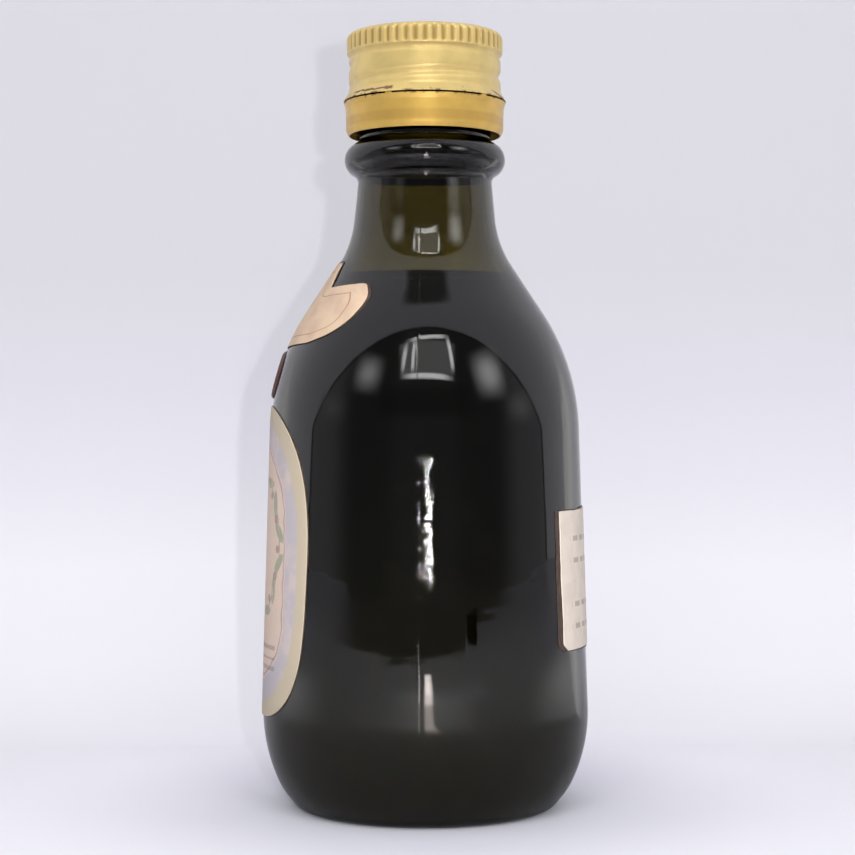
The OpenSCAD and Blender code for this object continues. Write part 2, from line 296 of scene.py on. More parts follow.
def climb(turn, height, start_z, first, last):
    """How deep a thread is, 0 to 1, between two angles in degrees; it passes +X at start_z."""
    first, last = math.radians(first), math.radians(last)
    depth = np.zeros_like(turn)
    for lap in range(-2, 3):
        angle = turn + lap * 2 * math.pi
        z = start_z + PITCH * angle / (2 * math.pi)
        ramp = smoothstep(first, first + RUN_OUT, angle) * (1 - smoothstep(last - RUN_OUT, last, angle))
        depth = np.maximum(depth, ramp * bell(height - z, THREAD_WIDTH))
    return depth


def push_glass(turn, radius, z):
    """Pushes only the outer skin: the cavity stays as it is."""
    ridge = climb(turn, z, 130.95, -340, 200) * (radius > 12) * (z > 126.2) * (z < 136)
    pushed = push_body(turn, radius, z) + RIDGE_HEIGHT * ridge
    pushed[len(glass_outer) - LIP_POINTS:] = 0
    return pushed


glass_outline = np.vstack([glass_outer, glass_inner[::-1][1:]])
glass = lathe("glass", glass_outline, round_angles(200, SEAMS, 0.035, 0.0035), push_glass, sharp=50)
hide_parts("bottle")
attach(glass, "glassware")
print("glass:", len(glass.data.vertices), "points")

# %% [markdown]
# ## The liquid
# A liquid in a bottle touches the glass, so there is no air between them. A path tracer gets that right
# when the liquid's surface lies a little inside the glass wall. Its top climbs up the wall by capillarity.

# %% Liquid piece
INTO_GLASS, CLIMB, CLIMB_REACH = 0.15, 0.3, 0.7
liquid_side = rounded(inset(BODY, WALL - INTO_GLASS), 0.8)
liquid_side = liquid_side[liquid_side[:, 1] < FILL]
rim = liquid_side[-1, 0]
meniscus = [(rim - s, FILL + CLIMB * math.exp(-s / CLIMB_REACH)) for s in np.linspace(0, 5, 18)]
liquid = lathe("liquid", np.vstack([liquid_side, meniscus, [(0, FILL)]]), round_angles(128), sharp=60)
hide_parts("contents")
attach(liquid, "glassware")
print("liquid:", len(liquid.data.vertices), "points")

# %% [markdown]
# ## The cap
# The cap starts as a smooth cup of thin aluminium. Its knurl is pressed beforehand, and its thread is
# rolled in on the bottle, by small wheels that press the sheet against the glass. So inside and outside
# move together, and the same push serves both.

# %% Cap
CAP_TOP, SLIT_TOP, RECESS_Z, SHEET = 138.5, 126.4, 134.25, 0.22
SKIRT, KNURL, FLARE = 13.65, 14.0, 14.6
FLUTES, FLUTE_DEPTH, GROOVE_DEPTH = 52, 0.3, 0.45
cap_outer = rounded([
    [0, CAP_TOP, 0], [KNURL, CAP_TOP, 1.1], [KNURL, RECESS_Z + 0.7, 0.35], [SKIRT - 0.35, RECESS_Z, 0.6],
    [SKIRT, RECESS_Z - 0.7, 0.6], [SKIRT, SLIT_TOP + 1.6, 1.2], [FLARE, SLIT_TOP, 0]], 0.16)
cap_inner = rounded([
    [FLARE - SHEET, SLIT_TOP, 0], [SKIRT - SHEET, SLIT_TOP + 1.67, 1.2],
    [SKIRT - SHEET, RECESS_Z - 0.7, 0.6], [SKIRT - 0.35 - SHEET, RECESS_Z, 0.6],
    [SKIRT - SHEET, RECESS_Z + 0.7, 0.35], [SKIRT - SHEET, CAP_TOP - SHEET, 0.9],
    [0, CAP_TOP - SHEET, 0]], 0.3)


def push_cap(turn, radius, z):
    """The rolled thread on both faces of the sheet, and the knurl on the outer one."""
    groove = climb(turn, z, 129.95, -105, 300) * (z > 127.6) * (z < 133.9) * (radius > 12)
    wave = 0.5 + 0.5 * np.cos(FLUTES * turn)
    on_knurl = smoothstep(134.9, 135.4, z) * (1 - smoothstep(137.9, 138.45, z))
    flute = wave ** 1.6 * on_knurl * (radius > SKIRT - SHEET / 2)
    return -GROOVE_DEPTH * groove - FLUTE_DEPTH * flute


cap = lathe("gold_cap", np.vstack([cap_outer, cap_inner]), round_angles(FLUTES * 10), push_cap, sharp=50)
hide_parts("cap_shell")
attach(cap, "cap")
print("cap:", len(cap.data.vertices), "points")

# %% [markdown]
# ## The tear band
# The band hangs under the cap on a few small bridges. Its lower edge is rolled in under the glass, so it
# stays on the neck when the cap comes off. Wheels tucked it in, which left it a little dented.

# %% Tear band
BAND_TOP, BAND_BOTTOM, BAND_R, BAND_RIM = 126.1, 120.3, 14.2, FLARE - 0.1
DENT, DENT_STRETCH = 0.03, 0.3
band_outer = rounded([
    [BAND_RIM, BAND_TOP, 0], [BAND_R, BAND_TOP - 1, 0.8], [BAND_R - 0.05, BAND_BOTTOM + 0.9, 0.9],
    [BAND_R - 0.5, BAND_BOTTOM, 0]], 0.2)
band_inner = rounded([
    [BAND_R - 0.5 - SHEET, BAND_BOTTOM, 0], [BAND_R - 0.05 - SHEET, BAND_BOTTOM + 0.97, 0.9],
    [BAND_R - SHEET, BAND_TOP - 1.07, 0.8], [BAND_RIM - SHEET, BAND_TOP, 0]], 0.3)


def push_band(turn, radius, z):
    """Shallow dents, which fade out towards the slit."""
    dents = np.abs(waves(turn, z * DENT_STRETCH, WAVES))
    return -DENT * dents * smoothstep(BAND_TOP - 1, BAND_TOP - 3, z)


band_outline = np.vstack([band_outer, band_inner])
band = lathe("gold_band", band_outline, round_angles(240), push_band, closed=True, sharp=50)
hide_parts("tear_band")
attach(band, "band")
print("band:", len(band.data.vertices), "points")

# %% [markdown]
# ## The bridges
# Each bridge is a nick of sheet that the slitting wheel left standing. Five small blocks, set round the
# slit, are enough: only their outer faces show.

# %% Bridges
BRIDGES, FIRST_BRIDGE = 5, -26
BRIDGE_SIZE = (0.18, 1.2, 0.44)  # deep, wide, high
BLOCK = [(0, 3, 2, 1), (4, 5, 6, 7), (0, 1, 5, 4), (1, 2, 6, 5), (2, 3, 7, 6), (3, 0, 4, 7)]


def block_points(radius, height, turn, size):
    """The eight corners of a small block that faces outwards at an angle."""
    out = []
    for up in (-0.5, 0.5):
        for deep, wide in ((-0.5, -0.5), (0.5, -0.5), (0.5, 0.5), (-0.5, 0.5)):
            r, s = radius + deep * size[0], wide * size[1]
            out.append((r * math.cos(turn) - s * math.sin(turn), r * math.sin(turn) + s * math.cos(turn),
                        height + up * size[2]))
    return out


points, faces = [], []
for k in range(BRIDGES):
    faces += [tuple(i + len(points) for i in f) for f in BLOCK]
    turn = math.radians(360 / BRIDGES * k + FIRST_BRIDGE)
    points += block_points(BAND_RIM - SHEET / 2, BAND_TOP + 0.02, turn, BRIDGE_SIZE)
bridges = mesh_piece("bridges", points, faces)
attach(bridges, "band")
print(BRIDGES, "bridges")

# %% [markdown]
# ## Onto the glass
# Labels and seal start flat, in a plane in front of the bottle. Every point is then dropped back onto the
# glass, as a hand smooths paper down.

# %% Places on the glass
FRONT, BACK = -1, 1  # the sides of the bottle, as the sign of Y


def on_glass(x, z, lift, side=FRONT):
    """Points on the front or the back of the bottle, lifted off the glass."""
    radius = glass_radius(z) + lift
    return np.stack([-side * x, side * np.sqrt(radius ** 2 - x ** 2), z], -1)


def between(a, b, n):
    """Faces between two closed rings of n points, which start at the points a and b."""
    return [(a + j, b + j, b + (j + 1) % n, a + (j + 1) % n) for j in range(n)]


def disc(first, n, rings):
    """Faces of a disc: a middle point and then rings of n points round it."""
    faces = [(first, first + 1 + j, first + 1 + (j + 1) % n) for j in range(n)]
    for i in range(rings - 1):
        faces += between(first + 1 + i * n, first + 1 + (i + 1) * n, n)
    return faces


# %% [markdown]
# ## Edges that wander
# Cut and aged paper has no perfect edge. A few waves, each shifted by chance, make an edge that wanders.
# The same sum later shapes the glue and the seal.

# %% Uneven edges
def uneven(turn, counts, fall, seed):
    """A chance wave round a closed edge: counts are its waves to a turn, lower the more there are."""
    chance = np.random.default_rng(seed)
    return sum(np.sin(k * turn + chance.uniform(0, 6.28)) / k ** fall for k in counts)


def outwards(outline):
    """The direction out of a closed outline, at each of its points."""
    along = np.roll(outline, -1, 0) - np.roll(outline, 1, 0)
    return np.stack([along[:, 1], -along[:, 0]], -1) / np.linalg.norm(along, axis=1)[:, None]


def wobbly(outline, amount, seed, steps=360):
    """The closed outline, evenly stepped, with its edge moved in and out by a chance wave."""
    closed = np.vstack([outline, outline[:1]])
    length = np.concatenate([[0], np.cumsum(np.linalg.norm(np.diff(closed, axis=0), axis=1))])
    at = np.linspace(0, length[-1], steps, endpoint=False)
    even = np.stack([np.interp(at, length, closed[:, k]) for k in (0, 1)], -1)
    wave = uneven(at / length[-1] * 2 * math.pi, (5, 9, 14, 23, 37, 61), 0.6, seed)
    return even + outwards(even) * (amount * wave / 2)[:, None]


# %% [markdown]
# ## Paper
# A sheet of paper is two discs of rings, its face and its back, joined at the edge. The rings lie closer
# together near the edge, where the curve of the sheet shows most.

# %% Paper pieces
def paper_piece(name, outline, middle, thickness=0.2, glue=0.05, side=FRONT, rings=36):
    """A sheet of paper on the glass, thickness and layer of glue in millimetres."""
    shares = 1 - np.linspace(1, 0, rings)[1:] ** 1.5
    middle, n, points = np.array(middle), len(outline), []
    for lift in (glue + thickness, glue):
        points.append(on_glass(middle[:1], middle[1:], lift, side))
        for share in shares:
            ring = middle + (outline - middle) * share
            points.append(on_glass(ring[:, 0], ring[:, 1], lift, side))
    layer = 1 + n * len(shares)
    faces = disc(0, n, len(shares)) + [face[::-1] for face in disc(layer, n, len(shares))]
    faces += between(layer - n, 2 * layer - n, n)
    return mesh_piece(name, np.vstack(points), faces, sharp=50)


def stuck(piece, node=None):
    if node:
        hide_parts(node)
    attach(piece, "glassware")
    print(piece.name + ":", len(piece.data.vertices), "points")


# %% [markdown]
# ## The front label
# The big label is rounder above than below. A power decides how far an oval swells towards a rectangle. The
# width is then rolled up, because paper looks narrower once it is wrapped.

# %% Front label
FRONT_MIDDLE, FRONT_HALF, ROLLED_ON = (0, 44.4), (22.5, 27.4), 27.3
ROUND_ABOVE, ROUND_BELOW = 2.55, 3.6


def swollen(power, a):
    ways = (np.cos(a), np.sin(a))
    return np.stack([h * np.sign(w) * np.abs(w) ** (2 / power) for h, w in zip(FRONT_HALF, ways)], -1)


a = np.linspace(0, 2 * math.pi, 720, endpoint=False)
flat_front = np.where((a < math.pi)[:, None], swollen(ROUND_ABOVE, a), swollen(ROUND_BELOW, a))
flat_front[:, 0] = ROLLED_ON * np.sin(flat_front[:, 0] / ROLLED_ON)
front_outline = wobbly(flat_front + FRONT_MIDDLE, 0.09, 3)
front_paper = paper_piece("front_paper", front_outline, FRONT_MIDDLE)
stuck(front_paper, "front_label")

# %% [markdown]
# ## The shoulder label
# A smaller label with a stepped top sits on the shoulder. Half of its outline is a chain of rounded
# corners, and the other half mirrors it.

# %% Shoulder label
SHOULDER_MIDDLE = (0, 88.5)
shoulder_half = rounded([
    [0, 82.25, 0], [13.5, 82.7, 5], [18.8, 84.5, 3.5], [17.9, 90.0, 8], [15.4, 92.9, 1.2],
    [8.6, 92.5, 0.8], [6.5, 95.6, 1], [6.0, 97.1, 0.8], [0, 97.3, 0]], 0.4)
shoulder_outline = np.vstack([shoulder_half, shoulder_half[::-1][1:-1] * (-1, 1)])
shoulder_outline = wobbly(shoulder_outline, 0.05, 5)
shoulder_paper = paper_piece("shoulder_paper", shoulder_outline, SHOULDER_MIDDLE, rings=24)
stuck(shoulder_paper, "shoulder_label")

# %% [markdown]
# ## The back label
# The back label is a plain rectangle, cut a little askew and with two corners nipped off, so its edge
# wanders more.

# %% Back label
BACK_MIDDLE, HALF_WIDTH, BOTTOM, TOP, NIP, ASKEW = (0, 41.6), 16.3, 29.35, 53.85, 1.2, 0.4
back_outline = np.array([
    (NIP - HALF_WIDTH, BOTTOM), (HALF_WIDTH, BOTTOM + ASKEW), (HALF_WIDTH, TOP - NIP),
    (HALF_WIDTH - NIP, TOP), (-HALF_WIDTH, TOP - ASKEW), (-HALF_WIDTH, BOTTOM + NIP)])
back_outline = wobbly(back_outline, 0.22, 9)
back_paper = paper_piece("back_paper", back_outline, BACK_MIDDLE, side=BACK)
stuck(back_paper, "back_label")

# %% [markdown]
# ## Old glue and painted shadow
# A dark brown rim shows round the labels: old glue that has crept out and gone dark, and painted shadow at
# the paper's edge. It is a second, thinner sheet with a ragged outline, a little larger than the paper and
# below it.

# %% Glue and painted shadow
def grown(outline, middle, by, seed):
    """The outline moved outwards, by a distance that changes slowly round it."""
    away = outline - np.array(middle)
    length = np.linalg.norm(away, axis=1)[:, None]
    wave = uneven(np.arctan2(away[:, 1], away[:, 0]), (2, 5, 11, 19), 0.5, seed)
    return outline + away / length * (by * np.clip(1 + 0.45 * wave, 0.05, None))[:, None]


GLUE_AND_SHADOW_RIMS = [  # name, outline of the paper, its middle, how far the rim of glue and painted shadow reaches, side
    ("front_glue", front_outline, FRONT_MIDDLE, 0.16, FRONT),
    ("shoulder_glue", shoulder_outline, SHOULDER_MIDDLE, 0.24, FRONT),
    # Painted shadow: the back rim is shifted, so that it sticks out along one side only.
    ("back_glue", back_outline - (0.8, 0), BACK_MIDDLE, 0.35, BACK),
]
glue_and_shadow_pieces = []
# Each rim is dark brown: old glue, and painted shadow round the paper.
for name, outline, middle, by, side in GLUE_AND_SHADOW_RIMS:
    ragged = grown(outline, middle, by, 4)
    glue_and_shadow_pieces.append(paper_piece(name, ragged, middle, thickness=0.07, glue=0.04, side=side))
    stuck(glue_and_shadow_pieces[-1])

# %% [markdown]
# ## The seal
# Between the two front labels sits a small round seal, like a blob of wax that was pressed with a plain
# stamp. It is a disc of rings whose heights draw the stamp.

# %% Seal
SEAL_Z, SEAL_R, SEAL_GLUE, BEADS = 77.45, 4.55, 0.05, 6
ring_shares = np.linspace(0, 1, 30)[1:]
turns = np.linspace(0, 2 * math.pi, 120, endpoint=False)
lump = uneven(turns, (2, 3, 5, 8, 13), 1, 21)


def seal_height(share, turn):
    """The stamped face: a button, a sunken field with beads, and a soft rim."""
    rim = bell(share - 0.86, 0.1)
    button = 1 - smoothstep(0.28, 0.4, share)
    beads = bell(share - 0.58, 0.09) * (0.5 + 0.5 * np.cos(BEADS * turn)) ** 3
    edge = 1 - smoothstep(0.93, 1.0, share)
    return 0.08 + edge * (0.16 + 0.36 * rim + 0.24 * button + 0.2 * beads)


points = [on_glass(np.zeros(1), np.array([SEAL_Z]), seal_height(0, 0))]
for share in ring_shares:
    radius = SEAL_R * share * (1 - 0.03 * (1 + lump * 0.5) * share ** 4)
    across, up = radius * np.cos(turns), SEAL_Z + radius * np.sin(turns)
    points.append(on_glass(across, up, seal_height(share, turns)))
points.append(on_glass(points[-1][:, 0], points[-1][:, 2], SEAL_GLUE))
n = len(turns)
low = 1 + n * len(ring_shares)
faces = disc(0, n, len(ring_shares)) + between(low - n, low, n) + [tuple(low + j for j in range(n))[::-1]]
seal = mesh_piece("wax_seal", np.vstack(points), faces, sharp=60)
stuck(seal, "seal")

# %% [markdown]
# ## Writing shaders as sums
# A shader is a small calculation at every point of a surface, and a sum is easier to read than a web of
# nodes. `Wire` is the result of a step: adding or multiplying wires adds the Math nodes that do it.

# %% Wires
class Wire:
    """A value that flows from one node to the next."""

    def __init__(self, finish, socket):
        self.finish, self.socket = finish, socket

    def math(self, operation, *others, clamp=False):
        inputs = dict(enumerate((self, *others)))
        return self.finish.add("Math", {"operation": operation, "use_clamp": clamp}, inputs)

    def reflected(self, operation, first):
        """The step with this wire second, as in 1 - wire."""
        return self.finish.add("Math", {"operation": operation}, {0: first, 1: self})

    def __add__(self, other):
        return self.math("ADD", other)

    def __sub__(self, other):
        return self.math("SUBTRACT", other)

    def __rsub__(self, other):
        return self.reflected("SUBTRACT", other)

    def __mul__(self, other):
        return self.math("MULTIPLY", other)

    def __truediv__(self, other):
        return self.math("DIVIDE", other)

    def __rtruediv__(self, other):
        return self.reflected("DIVIDE", other)

    def __pow__(self, other):
        return self.math("POWER", other)

    def __rpow__(self, other):
        return self.reflected("POWER", other)

    __radd__, __rmul__ = __add__, __mul__

    def clamped(self):
        return self.math("ADD", 0.0, clamp=True)

    def step(self, low, high):
        """0 below low, 1 above high, smooth between; high may be the lower one."""
        ends = {"Value": self, "From Min": low, "From Max": high}
        return self.finish.add("MapRange", {"interpolation_type": "SMOOTHSTEP"}, ends)


# %% [markdown]
# ## Finishes
# A `Finish` is the node tree of one material. Its `add` makes any node: first the settings, which may
# change the sockets, then the values and wires.

# %% Finishes
class Finish:
    """The node tree of a material or of the world, which starts with its output node alone."""

    def __init__(self, owner):
        owner.use_nodes = True
        self.owner, self.tree = owner, owner.node_tree
        self.tree.nodes.clear()
        kind = "World" if isinstance(owner, bpy.types.World) else "Material"
        self.end = self.tree.nodes.new("ShaderNodeOutput" + kind)

    def add(self, kind, settings, inputs, output=0):
        node = self.tree.nodes.new("ShaderNode" + kind)
        for key, value in settings.items():
            if key == "stops":
                ramp = node.color_ramp
                while len(ramp.elements) < len(value):
                    ramp.elements.new(0.5)
                for element, (place, shade) in zip(ramp.elements, value):
                    element.position, element.color = place, shade
            else:
                setattr(node, key, value)
        for key, value in inputs.items():
            if isinstance(value, Wire):
                self.tree.links.new(value.socket, node.inputs[key])
            else:
                node.inputs[key].default_value = value
        return Wire(self, node.outputs[output])

    def lead(self, wire, socket):
        """Leads a wire to the output, as its Surface or its Volume."""
        self.tree.links.new(wire.socket, self.end.inputs[socket])

    def surface(self, inputs):
        self.lead(self.add("BsdfPrincipled", {}, inputs), "Surface")

    def place(self, axis=None):
        """Where a point lies on its piece, in metres."""
        where = self.add("TexCoord", {}, {}, "Object")
        return self.add("SeparateXYZ", {}, {0: where}, axis) if axis else where

    def noise(self, size, detail=3, stretch=(1, 1, 1)):
        """Cloudy values about 0.5, with lumps of about the given size in millimetres."""
        where = self.add("Mapping", {}, {"Vector": self.place(), "Scale": stretch})
        return self.add("TexNoise", {}, {"Vector": where, "Scale": 1 / (size * MM), "Detail": detail,
                                         "Roughness": 0.55, "Lacunarity": 2.0})

    def mix(self, mask, first, second):
        """A colour between two others. Inputs 6 and 7 and output 2 of the node are its colours."""
        return self.add("Mix", {"data_type": "RGBA"}, {0: mask, 6: first, 7: second}, 2)

    def bump(self, height, distance, strength):
        """Small dents that are only shaded, with a depth in millimetres."""
        return self.add("Bump", {}, {"Height": height, "Distance": distance * MM, "Strength": strength})


def finish(name):
    return Finish(bpy.data.materials.new(name))


# %% [markdown]
# ## Colours and dressing
# Colours are written as they look on a screen. A shader needs the amount of light instead, so each value is
# turned back through the screen's curve.

# %% Colours
def colour(red, green, blue):
    """A colour given as it looks on screen, 0 to 255, turned into the light that a shader works with."""
    def light(v):
        v /= 255
        return v / 12.92 if v <= 0.04045 else ((v + 0.055) / 1.055) ** 2.4
    return (light(red), light(green), light(blue), 1)


def dress(piece, look):
    piece.data.materials.clear()
    piece.data.materials.append(look.owner)
    print(piece.name, "wears", look.owner.name + ", of", len(look.tree.nodes), "nodes")


# %% [markdown]
# ## Dark green glass
# The colour of glass is in its depth, not on its face: light loses some green and most of its blue on each
# millimetre. A volume that absorbs does just that, so the thin wall of the neck looks olive and the foot
# black. The seam is worn into small beads halfway up.

# %% Glass finish
def near(wire, middle, half, soft):
    """1 within half of the middle, falling to 0 over soft."""
    return (wire - middle).math("ABSOLUTE").step(half + soft, half)


WORN_Y, WORN_Z = 0.1, ((37, 43), (68, 63))  # millimetres; the wear fades in and out
glass_look = finish("dark green glass")
y, z = glass_look.place("Y"), glass_look.place("Z")
worn = near(y, WORN_Y * MM, 1.2 * MM, 1.1 * MM) * glass_look.place("X").step(0, 1 * MM)
for low, high in WORN_Z:
    worn = worn * z.step(low * MM, high * MM)
ripple, beads = glass_look.noise(9, 2, (1, 1, 1.8)), glass_look.noise(0.7, 1)
glass_look.surface({
    "Base Color": (1, 1, 1, 1),
    "Roughness": 0.015,
    "IOR": 1.5,
    "Transmission Weight": 1.0,
    "Normal": glass_look.bump(ripple * 0.25 + beads * worn * 0.55, 0.12, 0.5),
})
absorb = glass_look.add("VolumeAbsorption", {}, {"Color": (0.50, 0.455, 0.0, 1), "Density": 1350.0})
glass_look.lead(absorb, "Volume")
dress(glass, glass_look)

# %% [markdown]
# ## Liquid that is nearly black
# Where a liquid wets the glass there is hardly any reflection, because both bend light almost alike. So the
# side of the liquid has no gloss at all and is a very dark brown, with painted light: it is painted a
# lighter olive towards the foot, with lighter brown patches there, where light shines through the liquid.
# Only its open top mirrors the room, so the faces up there get a second material.

# %% Liquid finish
PAINTED_LIGHT_HEIGHT = 90
wet_look = finish("dark liquid")
depth = (wet_look.place("Z") / (PAINTED_LIGHT_HEIGHT * MM)).clamped()
# Painted light: the side is a lighter olive low down, fading to dark higher up, with lighter brown patches
# near the foot, where light shines through the liquid.
tint = wet_look.mix(depth.step(0.1, 0.7), colour(124, 128, 82), colour(48, 48, 30))
painted_light_patches = wet_look.noise(16, 3).step(0.45, 0.75) * (1 - depth) * 0.5
wet_look.surface({
    "Base Color": wet_look.mix(painted_light_patches, tint, colour(146, 124, 78)),
    "Roughness": 1.0,
    "Specular IOR Level": 0.0,
    "Alpha": wet_look.place("Z").step((FILL + CLIMB) * MM, (FILL - 1.8) * MM),
})
dress(liquid, wet_look)

top_look = finish("top of the liquid")
top_look.surface({
    "Base Color": top_look.mix(top_look.noise(12, 2), colour(20, 16, 8), colour(26, 20, 10)),
    "Roughness": 0.02,
    "IOR": 1.36,
})
liquid.data.materials.append(top_look.owner)
for face in liquid.data.polygons:
    face.material_index = 1 if face.normal.z > 0.5 and face.center.z > (FILL - 1) * MM else 0
print("faces on top:", sum(face.material_index for face in liquid.data.polygons))

# %% [markdown]
# ## Gold lacquered aluminium
# The sheet is bare aluminium under a yellow lacquer. Rolling and handling leave it satin, and dirt settles
# where the cap meets its band. The cap and the band share this finish, and `marks` adds what differs.

# %% Gold finish
def gold(name, tone, grime_z, marks):
    """The lacquer in a tone, dirty near a height; marks gives painted shade, and more dirt mixed with
    painted shade, from turn and height.
    """
    look = finish(name)
    x, y, z = (look.place(axis) for axis in "XYZ")
    turn, high = y.math("ARCTAN2", x), z / MM
    cloud, fine = look.noise(3.5, 4), look.noise(0.5, 3, (1, 1, 6))
    brushed = look.noise(0.25, 2, (0.08, 0.08, 1))
    base = look.mix(cloud.step(0.35, 0.7), tone, [c * 0.9 for c in tone[:3]] + [1])
    # marks returns painted shade, and dirt that holds the painted shade of the crease.
    shade, dirt_and_shade = marks(look, turn, high)
    # Painted shade: the gold turns darker where the marks give shade.
    base = look.mix(shade, base, colour(150, 112, 50))
    dirt_and_shade = (dirt_and_shade + near(high, grime_z, 0.1, 0.35) * look.noise(1.6, 4).step(0.48, 0.62)).clamped()
    look.surface({
        "Base Color": look.mix(dirt_and_shade * 0.9, base, colour(84, 48, 24)),
        "Metallic": 0.7 - dirt_and_shade * 0.5,
        "Roughness": (cloud * 0.1 + fine * 0.08 + 0.33 + dirt_and_shade * 0.3).clamped(),
        "Normal": look.bump(brushed + cloud * 2, 0.02, 0.35),
        "Coat Weight": 0.25,
        "Coat Roughness": 0.2,
    })
    return look


# %% [markdown]
# ## Marks on the cap and the band
# The flutes of the knurl are darkened in their hollows, as painted shade. The rolling wheel left a crease
# above
# the slit, which is not modelled: a dark line stands for it, dirt with painted shade. Its left part is
# level and ends in a corner, and its right part slopes. Angles are in radians from +X.

# %% Marks
CREASE_Z, SLOPE = 127.1, 3.6
LEFT_START, LEFT_END, RIGHT_START, RIGHT_END = -1.06, -0.43, 1.02, 1.35


def cap_marks(look, turn, high):
    on_knurl = high.step(134.8, 135.4) * high.step(138.2, 137.7)
    # Painted shade: the hollows of the flutes are darkened.
    flute = ((turn * FLUTES).math("COSINE") * 0.5 + 0.5) * on_knurl
    # Painted shade with dirt: a dark line where the crease is, since the crease has no shape of its own.
    rough = high + (look.noise(1.2, 3) - 0.5) * 0.7
    left = near(rough, CREASE_Z, 0.1, 0.16) * turn.step(LEFT_START - 0.06, LEFT_START + 0.06)
    left = left * turn.step(LEFT_END + 0.03, LEFT_END - 0.03)
    corner = near(rough, CREASE_Z + 0.05, 0.2, 0.3) * near(turn, LEFT_END - 0.03, 0.03, 0.05)
    right = near(rough + (turn - (RIGHT_START + 0.01)) * SLOPE, CREASE_Z + 0.2, 0.1, 0.2)
    right = right * turn.step(RIGHT_START - 0.04, RIGHT_START + 0.04)
    right = right * turn.step(RIGHT_END + 0.05, RIGHT_END - 0.05)
    specks = look.noise(0.7, 2).step(0.66, 0.72) * near(high, CREASE_Z - 0.2, 0.3, 0.5)
    return flute * flute * 0.75, left + corner + right + specks * 0.7


def band_marks(look, turn, high):
    specks = look.noise(1.1, 3).step(0.68, 0.74) * high.step(125.3, 125.9)
    # Painted shade: a darker stripe low on the band. The specks above it are dirt.
    return near(high, 122.4, 0.5, 0.7) * 0.3, specks * 0.7


dress(cap, gold("gold lacquer", colour(212, 187, 120), 126.35, cap_marks))
band_gold = gold("band lacquer", colour(206, 168, 84), 126.2, band_marks)
dress(band, band_gold)
dress(bridges, band_gold)

# %% [markdown]
# ## The liner
# A disc of off-white plastic seals the cap against the lip. It is hidden while the cap is on, so the
# frame's own disc will do and only needs a finish.

# %% Liner finish
liner_look = finish("liner")
cloud = liner_look.noise(2, 4).step(0.4, 0.7)
liner_look.surface({
    "Base Color": liner_look.mix(cloud, colour(226, 222, 208), colour(205, 198, 178)),
    "Roughness": 0.6,
    "Normal": liner_look.bump(liner_look.noise(0.4, 3), 0.03, 0.3),
})
dress(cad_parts["cap_liner"], liner_look)

# %% [markdown]
# ## Aged paper
# The labels are matt paper, gone beige with age, with fibres as a fine grain. Their prints are plain
# shapes, so each is a mask worked out on the paper, which stays sharp close up.

# %% Paper finish
def paper(piece, base, fibre):
    look = base.finish
    look.surface({
        "Base Color": base,
        "Roughness": 0.75,
        "Specular IOR Level": 0.3,
        "Normal": look.bump(fibre, 0.04, 0.5),
    })
    dress(piece, look)


def oval(x, z, middle, long, wide, lean=0.0):
    """1 inside an oval of the given half sizes, leaning by an angle, with a slightly soft edge."""
    c, s = math.cos(lean), math.sin(lean)
    dx, dz = x - middle[0], z - middle[1]
    along, across = dx * c + dz * s, dz * c - dx * s
    return ((along * along) / long ** 2 + (across * across) / wide ** 2).step(1.05, 0.75)


# %% [markdown]
# ## The print on the front label
# The print has a plain oval field, a thin line round it, a hazy margin and a bare edge. `away` says how far
# a point lies from the middle towards the edge, from 0 to 1, by powers close to those of the outline.

# %% Front label colours
PRINT_HALF, PRINT_POWERS = 20.1, (2.5, 3.4)
look = finish("front label paper")
x, z = look.place("X") / MM, look.place("Z") / MM
u, v = (x / PRINT_HALF).math("ABSOLUTE"), (z - FRONT_MIDDLE[1]) / FRONT_HALF[1]
upper, tall = v.step(-0.05, 0.05), v.math("ABSOLUTE")
above, below = ((u ** power + tall ** power) ** (1 / power) for power in PRINT_POWERS)
away = above * upper + below * (1 - upper)
cloud, fibre = look.noise(5, 5), look.noise(0.35, 3, (1, 1, 3))
base = look.mix(fibre.step(0.3, 0.7), colour(198, 178, 163), colour(188, 168, 152))
border = away + (look.noise(7, 2) - 0.5) * 0.14
haze = look.mix(cloud.step(0.4, 0.65), colour(160, 156, 163), colour(180, 167, 163))
base = look.mix(border.step(0.74, 0.77) * 0.85, base, haze)
base = look.mix(near(border, 0.735, 0.004, 0.008) * 0.7, base, colour(134, 114, 118))
base = look.mix(away.step(0.885, 0.925), base, colour(172, 160, 139))
print("front label so far:", len(look.tree.nodes), "nodes")

# %% [markdown]
# ## The garland
# A stem runs up each side of the field, with leaves that lean to and fro and a fruit beside each. Both
# sides are drawn at once, by the distance from the middle line. Three rules lie below.

# %% Garland and rules
LEAVES, GARLAND_Z, GARLAND, INSIDE = (-56, -34, -12, 12, 34, 56), 47, (13.0, 13.5), 0.8
RULES = ((29.5, 0.3, 0.15), (27.6, 0.12, 0.12), (25.9, 0.3, 0.15))  # height, half width, soft edge


def on_garland(degrees, inside=0.0):
    t = math.radians(degrees)
    return (GARLAND[0] - inside) * math.cos(t), GARLAND_Z + (GARLAND[1] - inside) * math.sin(t)


